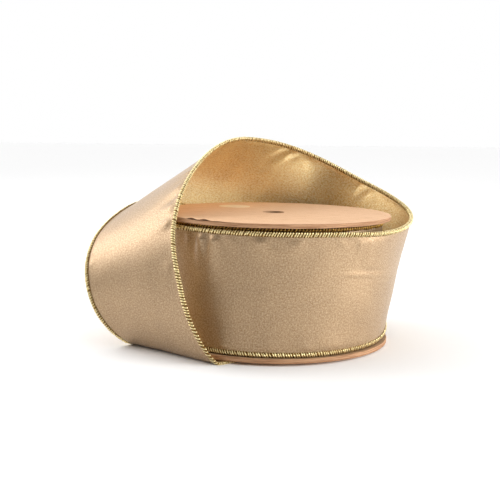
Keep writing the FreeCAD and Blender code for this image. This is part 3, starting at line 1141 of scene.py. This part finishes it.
@dataclass
class Flange:
    """A die-cut chipboard disc with kraft paper glued on its outer side."""

    side: str
    radius: float
    hole: float
    inner: float
    board_outer: float
    paper_outer: float
    wardrobe: Wardrobe
    seed: int
    burr: float = 0.0

    SEGMENTS: ClassVar = 360
    WEAR: ClassVar = 0.16 * MM
    # Where the paper is lifted: its angle, its half width in radians, and the ripples round a full turn.
    BURR_ANGLE: ClassVar = math.radians(233.0)
    BURR_HALF: ClassVar = 0.16
    BURR_RIPPLES: ClassVar = 46
    # The rim is worn over this width. The board's corners are softer than the paper's.
    WORN: ClassVar = 4 * MM
    BOARD_SOFT: ClassVar = 0.25 * MM
    BOARD_HOLLOW: ClassVar = 0.04 * MM
    PAPER_SOFT: ClassVar = 0.06 * MM

    def rim(self, angle: Array, rng: np.random.Generator) -> Array:
        """How far the cut rim falls short of the full radius."""
        short = np.zeros_like(angle)
        for count in (5, 9, 14, 23, 41):
            short += np.sin(count * angle + rng.uniform(0, 2 * math.pi)) / math.sqrt(count)
        return self.WEAR * (0.5 + 0.18 * short)

    def turned(self, name: str, profile: list, materials: list, rng: np.random.Generator,
               lift: float) -> Piece:
        """Build a ring from its profile.

        Args:
            name: the piece's name.
            profile: (radius, height, whether it is on the rim, material of the face after it).
            materials: the piece's materials.
            rng: for the rim's wear.
            lift: how far the burr raises the rim.

        Returns:
            The new object.
        """
        angle = np.arange(self.SEGMENTS) * 2 * math.pi / self.SEGMENTS
        short = self.rim(angle, rng)
        ripples = 0.6 + 0.4 * np.sin(angle * self.BURR_RIPPLES)
        bent = lift * np.exp(-((angle - self.BURR_ANGLE) / self.BURR_HALF) ** 2) * ripples
        rings = []
        for radius, height, on_rim, _ in profile:
            reach = radius - short * on_rim
            circle = [reach * np.cos(angle), reach * np.sin(angle), height + bent * on_rim]
            rings.append(np.stack(circle, axis=1))
        around = len(profile)
        base = np.arange(self.SEGMENTS)[:, None] * around
        after = np.roll(base, -1, axis=0)
        here = np.arange(around)[None]
        there = (here + 1) % around
        faces = np.stack([base + here, after + here, after + there, base + there], axis=2).reshape(-1, 4)
        kinds = np.tile([kind for _, _, _, kind in profile], self.SEGMENTS)
        points = np.stack(rings, axis=1).reshape(-1, 3)
        return new_object(name, points, faces.tolist(), kinds, materials, smooth=False)

    def profile(self, low: float, high: float, soft: float, rim: list) -> list:
        """Profile of a disc with a hole, from the hole out along its base and back along its top.

        Args:
            low: height of its base.
            high: height of its top.
            soft: how far the rim's corners are rounded.
            rim: (how far short of the full radius, height) of the points on the rim itself.

        Returns:
            (radius, height, whether it is on the rim, material of the face after it).
        """
        flat = self.radius - self.WORN
        return [(self.hole, low, 0, 0), (flat, low, 0, 0), (self.radius - soft, low, 1, 1),
                *[(self.radius - short, height, 1, 1) for short, height in rim],
                (self.radius - soft, high, 1, 0), (flat, high, 0, 0), (self.hole, high, 0, 1)]

    def build(self) -> list[Piece]:
        """Build the board and its paper."""
        rng = np.random.default_rng(self.seed)
        cut = self.wardrobe.get(Stuff.BOARD_EDGE)
        low, high = sorted((self.inner, self.board_outer))
        soft = self.BOARD_SOFT
        rim = [(0, low + soft), (self.BOARD_HOLLOW, (low + high) / 2), (0, high - soft)]
        board = self.turned(self.side + "_board", self.profile(low, high, soft, rim),
                            [self.wardrobe.get(Stuff.GREY_BOARD), cut], rng, 0)
        low, high = sorted((self.paper_outer, self.board_outer))
        up = 1 if self.paper_outer > self.board_outer else -1
        rim = [(0, (low + high) / 2)]
        paper = self.turned(self.side + "_paper", self.profile(low, high, self.PAPER_SOFT, rim),
                            [self.wardrobe.get(Stuff.KRAFT), cut], rng, self.burr * up)
        return [board, paper]

    def dress(self, pieces: list[Piece]) -> None:
        board, paper = pieces
        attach(board, "spool")
        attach(paper, "spool")
        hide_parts(self.side + "_flange")
        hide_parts(self.side + "_facing")


class CadFinishes:
    """Finishes for the CAD nodes that stay in sight."""

    NODES: ClassVar = {
        "core_tube": Stuff.CORE_CARD, "lower_glue_ring": Stuff.GLUE, "upper_glue_ring": Stuff.GLUE,
        "start_tape": Stuff.TAPE, "blank_label": Stuff.LABEL, "loose_lower_wire": Stuff.WIRE,
        "loose_upper_wire": Stuff.WIRE,
    }

    def dress(self, wardrobe: Wardrobe) -> None:
        """Put each finish on its node."""
        for name, stuff in self.NODES.items():
            for place in bpy.data.objects[name].material_slots:
                place.material = wardrobe.get(stuff)
            LOG.info("%s: %s", name, stuff.value.name)


# ---- The studio ----


@dataclass
class Studio:
    """Pale floor, soft lights and the camera."""

    wardrobe: Wardrobe
    camera_place: tuple = (-0.0127, -0.5007, 0.1157)
    lens: float = 64.8
    pitch: float = 0.134
    roll: float = 0.0191
    opening: tuple = (-0.42, -0.90, 0.10)
    floor_half: float = 4.0
    floor_count: int = 9
    sensor: float = 36.0
    lamp_power: float = 4.6
    bright: float = 1.16
    dark: float = 0.0

    def floor(self, low_point: Vector, high_point: Vector) -> None:
        """Lay the floor through the tail's underside and the spool's far rim.

        Args:
            low_point: the lowest point of the tail side.
            high_point: where the lower flange touches down.
        """
        across = Vector((high_point.x - low_point.x, high_point.y - low_point.y, 0))
        slope = (high_point.z - low_point.z) / across.length
        way = across.normalized()
        points = []
        for y in np.linspace(-self.floor_half, self.floor_half, self.floor_count):
            for x in np.linspace(-self.floor_half, self.floor_half, self.floor_count):
                height = low_point.z + slope * ((x - low_point.x) * way.x + (y - low_point.y) * way.y)
                points.append((x, y, height))
        faces = grid_faces(self.floor_count, self.floor_count)[:, ::-1].tolist()
        floor = new_object("floor", np.array(points), faces, [0] * len(faces),
                           [self.wardrobe.get(Stuff.FLOOR)])

    def camera(self) -> None:
        """Set up the camera."""
        view = bpy.data.objects.new("camera", bpy.data.cameras.new("camera"))
        view.data.lens = self.lens
        view.data.sensor_width = self.sensor
        view.data.clip_start = 0.01
        forward = Vector((0, math.cos(self.pitch), -math.sin(self.pitch)))
        plumb = Vector((0, math.sin(self.pitch), math.cos(self.pitch)))
        side = Vector((1, 0, 0))
        right = math.cos(self.roll) * side + math.sin(self.roll) * plumb
        up = -math.sin(self.roll) * side + math.cos(self.roll) * plumb
        turn = Matrix((right, up, -forward)).transposed().to_4x4()
        view.matrix_world = Matrix.Translation(Vector(self.camera_place)) @ turn
        bpy.context.scene.collection.objects.link(view)
        bpy.context.scene.camera = view

    def light(self, name: str, place: tuple, target: tuple, size: float) -> None:
        """Add a soft square white light that looks at a point."""
        lamp = bpy.data.lights.new(name, "AREA")
        lamp.size = size
        lamp.energy = self.lamp_power
        holder = bpy.data.objects.new(name, lamp)
        holder.location = place
        holder.rotation_euler = (Vector(target) - Vector(place)).to_track_quat("-Z", "Y").to_euler()
        bpy.context.scene.collection.objects.link(holder)

    def surroundings(self) -> None:
        """White surroundings that light the object, with a dark opening in front, a little to the left.

        Behind it all is white paper.
        """
        world = bpy.data.worlds.new("studio")
        world.use_nodes = True
        tree = world.node_tree
        tree.nodes.clear()
        way = add(tree, "TexCoord").outputs["Generated"]
        toward = add(tree, "VectorMath", {0: way, 1: self.opening}, operation="DOT_PRODUCT")
        strength = add(tree, "MapRange", {
            "Value": toward.outputs["Value"], "From Min": 0.30, "From Max": 0.95, "To Min": self.bright,
            "To Max": self.dark}, interpolation_type="SMOOTHSTEP")
        white = linear("#FFFFFF")
        light = add(tree, "Background", {"Color": white, "Strength": strength.outputs[0]})
        paper = add(tree, "Background", {"Color": white, "Strength": 1.0})
        seen = add(tree, "LightPath").outputs["Is Camera Ray"]
        surface = add(tree, "MixShader", {0: seen, 1: light.outputs[0], 2: paper.outputs[0]})
        add(tree, "OutputWorld", {"Surface": surface.outputs[0]})
        bpy.context.scene.world = world

    def build(self, tail: Vector, rim: Vector) -> None:
        """Set everything up."""
        self.floor(tail, rim)
        self.camera()
        self.surroundings()
        self.light("left softbox", (-0.75, 0.25, 0.55), (0, 0, 0.06), 0.6)
        self.light("right softbox", (0.80, -0.24, 0.16), (-0.02, 0.02, 0.07), 0.4)
        bpy.context.scene.view_settings.view_transform = "Standard"


# Way from the axis to the side where the tail lies under the spool.
TAIL_SIDE = Vector((-0.69, -0.72, 0))


def main() -> None:
    """Build every piece around the frame, then the studio."""
    logging.basicConfig(level=logging.INFO, format="%(name)s: %(message)s")
    wardrobe = Wardrobe()
    sizes = Sizes.from_frame()
    edge = WhippedEdge()
    disc = (sizes.flange_radius, sizes.arbor_radius)
    builders = [
        WoundRibbon(sizes, edge, wardrobe),
        LooseRibbon(sizes, edge, wardrobe),
        Flange("bottom", *disc, sizes.lower_top, sizes.facing, 0.0, wardrobe, seed=SEED + 30),
        Flange("top", *disc, sizes.upper_base, sizes.upper_top - sizes.facing, sizes.upper_top, wardrobe,
               seed=SEED + 20, burr=1.0 * MM),
    ]
    for builder in builders:
        pieces = builder.build()
        builder.dress(pieces)
        for piece in pieces:
            LOG.info("%s: %d faces", piece.name, len(piece.data.polygons))
    CadFinishes().dress(wardrobe)

    tail_way = TAIL_SIDE * sizes.flange_radius
    tail = Vector((tail_way.x, tail_way.y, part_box("tail_lower_edge")[0].z))
    Studio(wardrobe).build(tail, Vector((-tail_way.x, -tail_way.y, 0)))


if __name__ == "__main__":
    main()
